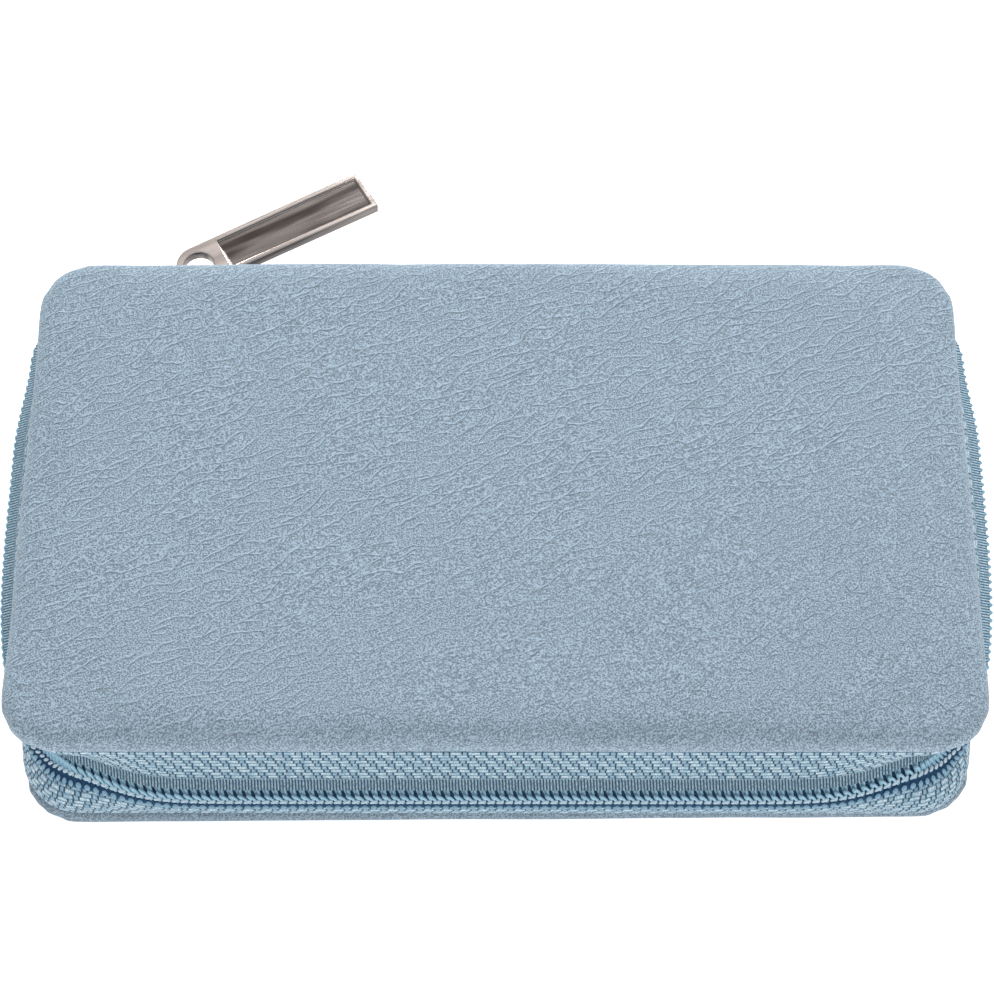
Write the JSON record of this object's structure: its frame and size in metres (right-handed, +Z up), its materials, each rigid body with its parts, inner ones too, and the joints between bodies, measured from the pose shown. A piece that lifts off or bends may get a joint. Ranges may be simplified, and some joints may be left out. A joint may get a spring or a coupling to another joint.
{
  "type": "manicure set case",
  "caption": "Zip-around manicure case in pebbled leatherette with a spine hinge, slider, pull tab and strapped-in instruments.",
  "frame": {"origin": "centre of the flat underside, on which the closed case stands", "axes": "+X to the case's right along its length, +Y to the spine at the back, +Z up through the lid"},
  "size_m": [0.148, 0.1112, 0.0296],
  "materials": {
    "cover_leather": "matte pebbled leatherette",
    "strap_leather": "smooth leatherette",
    "zip_tape": "woven polyester tape",
    "zip_coil": "nylon coil",
    "foam": "thin foam",
    "board": "stiffening board",
    "lining": "velour lining",
    "zip_metal": "polished gunmetal",
    "tool_steel": "polished stainless steel",
    "file_grit": "fine abrasive",
    "file_handle": "moulded plastic"
  },
  "bodies": {
    "base": {"base_cover": "cover_leather", "base_foam": "foam", "base_board": "board", "base_lining": "lining", "lower_tape": "zip_tape", "lower_coil": "zip_coil", "scissors_strap": "strap_leather", "clipper_strap": "strap_leather", "scissors_held_half": "tool_steel", "scissors_screw": "tool_steel", "clipper_lower_leaf": "tool_steel", "clipper_rivet": "tool_steel"},
    "spine": {"spine_cover": "cover_leather", "spine_board": "board", "spine_lining": "lining", "zip_tail_left": "zip_tape", "zip_tail_right": "zip_tape", "top_stop_upper": "zip_metal", "top_stop_lower": "zip_metal", "bottom_stop": "zip_metal"},
    "lid": {"lid_cover": "cover_leather", "lid_foam": "foam", "lid_board": "board", "lid_lining": "lining", "upper_tape": "zip_tape", "upper_coil": "zip_coil", "lid_strap_left": "strap_leather", "lid_strap_right": "strap_leather", "file_blade": "file_grit", "file_handle": "file_handle", "cuticle_pusher": "tool_steel", "tweezers_held_arm": "tool_steel"},
    "slider": {"slider_body": "zip_metal", "slider_bridge": "zip_metal"},
    "link": {"pull_link": "zip_metal"},
    "tab": {"pull_tab": "zip_metal"},
    "scissors_free": {"scissors_free_half": "tool_steel"},
    "clipper_jaw": {"clipper_upper_leaf": "tool_steel"},
    "clipper_lever": {"clipper_lever": "tool_steel", "clipper_pin": "tool_steel"},
    "tweezers_arm": {"tweezers_sprung_arm": "tool_steel"}
  },
  "joints": [
    {"name": "spine_fold", "type": "hinge", "parent": "base", "child": "spine", "pos_m": [0, 0.041, 0.00465], "axis": [-1, 0, 0], "range_deg": [0, 85]},
    {"name": "lid_fold", "type": "hinge", "parent": "spine", "child": "lid", "pos_m": [0, 0.041, 0.02315], "axis": [-1, 0, 0], "range_deg": [0, 94]},
    {"name": "slider_travel", "type": "slide", "parent": "spine", "child": "slider", "axis": [-1, 0, 0], "range_m": [0, 0.0079]},
    {"name": "link_swing", "type": "hinge", "parent": "slider", "child": "link", "pos_m": [-0.04855, 0.0447, 0.0135], "axis": [0, 0, 1], "range_deg": [-20, 20]},
    {"name": "tab_swing", "type": "hinge", "parent": "link", "child": "tab", "pos_m": [-0.04855, 0.0493, 0.0135], "axis": [0, 0, -1], "range_deg": [-115, 15]},
    {"name": "scissors_open", "type": "hinge", "parent": "base", "child": "scissors_free", "pos_m": [0.002, 0.012, 0.0094], "axis": [0, 0, 1], "range_deg": [0, 22]},
    {"name": "clipper_lever_turn", "type": "hinge", "parent": "base", "child": "clipper_lever", "pos_m": [0.006, -0.0305, 0.0138], "axis": [0, 0, -1], "range_deg": [0, 180]},
    {"name": "clipper_jaw_press", "type": "hinge", "parent": "base", "child": "clipper_jaw", "pos_m": [-0.034, -0.0305, 0.00805], "axis": [0, 1, 0], "range_deg": [0, 2.1], "stiffness_Nm_per_rad": 5},
    {"name": "tweezers_squeeze", "type": "hinge", "parent": "lid", "child": "tweezers_arm", "pos_m": [-0.033, 0.029, 0.0199], "axis": [0, -1, 0], "range_deg": [0, 3.4], "stiffness_Nm_per_rad": 1}
  ]
}
